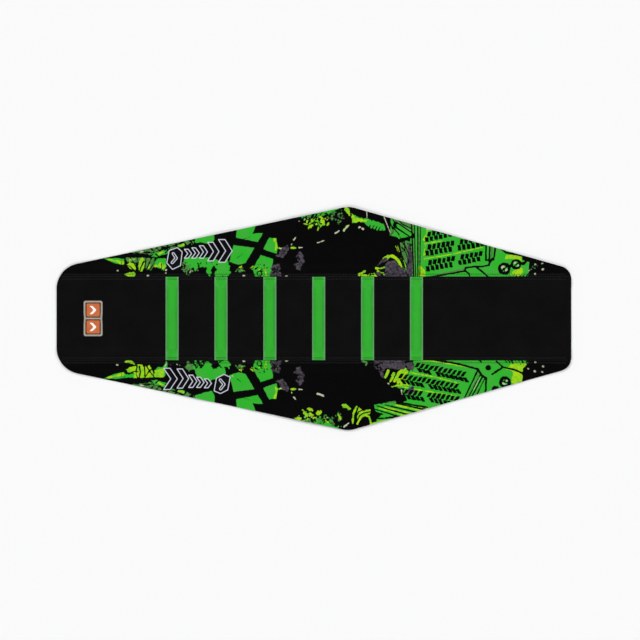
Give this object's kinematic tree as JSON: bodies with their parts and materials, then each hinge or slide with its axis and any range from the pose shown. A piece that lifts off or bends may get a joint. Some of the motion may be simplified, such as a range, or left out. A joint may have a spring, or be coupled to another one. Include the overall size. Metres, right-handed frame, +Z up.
{
  "type": "motorcycle seat cover",
  "caption": "Long hexagonal vinyl seat cover laid flat: a ribbed black grip panel between printed side panels that fold down at sewn seams, with a small moulded label.",
  "frame": {"origin": "middle of the cover's footprint, on the plane that it rests on", "axes": "+X along the cover towards its plain end, which goes to the front of the seat, with the label at the -X end; +Y to the rider's left; +Z up, out of the ribbed and printed face"},
  "size_m": [0.75, 0.3248, 0.0056],
  "materials": {
    "grip_vinyl": "matte",
    "printed_vinyl": "satin",
    "rib_vinyl": "satin",
    "rib_foam": "matte",
    "seam_thread": "matte",
    "rib_thread": "matte",
    "label_border": "satin",
    "label_field": "satin",
    "label_mark": "satin",
    "label_thread": "matte"
  },
  "bodies": {
    "top": {"top_panel": "grip_vinyl", "left_inner_topstitch": "seam_thread", "left_joining_thread": "seam_thread", "right_inner_topstitch": "seam_thread", "right_joining_thread": "seam_thread", "rib_cover_1": "rib_vinyl", "rib_core_1": "rib_foam", "rib_stitching_1": "rib_thread", "rib_cover_2": "rib_vinyl", "rib_core_2": "rib_foam", "rib_stitching_2": "rib_thread", "rib_cover_3": "rib_vinyl", "rib_core_3": "rib_foam", "rib_stitching_3": "rib_thread", "rib_cover_4": "rib_vinyl", "rib_core_4": "rib_foam", "rib_stitching_4": "rib_thread", "rib_cover_5": "rib_vinyl", "rib_core_5": "rib_foam", "rib_stitching_5": "rib_thread", "rib_cover_6": "rib_vinyl", "rib_core_6": "rib_foam", "rib_stitching_6": "rib_thread", "label_backing": "label_border", "label_tile_left": "label_field", "label_mark_left": "label_mark", "label_tile_right": "label_field", "label_mark_right": "label_mark", "label_stitching": "label_thread"},
    "left_side": {"left_side_panel": "printed_vinyl", "left_outer_topstitch": "seam_thread"},
    "right_side": {"right_side_panel": "printed_vinyl", "right_outer_topstitch": "seam_thread"}
  },
  "joints": [
    {"name": "left_side_fold", "type": "hinge", "parent": "top", "child": "left_side", "pos_m": [0, 0.061, 0.0011], "axis": [-1, 0, 0], "range_deg": [-90, 90]},
    {"name": "right_side_fold", "type": "hinge", "parent": "top", "child": "right_side", "pos_m": [0, -0.061, 0.0011], "axis": [1, 0, 0], "range_deg": [-90, 90]}
  ]
}
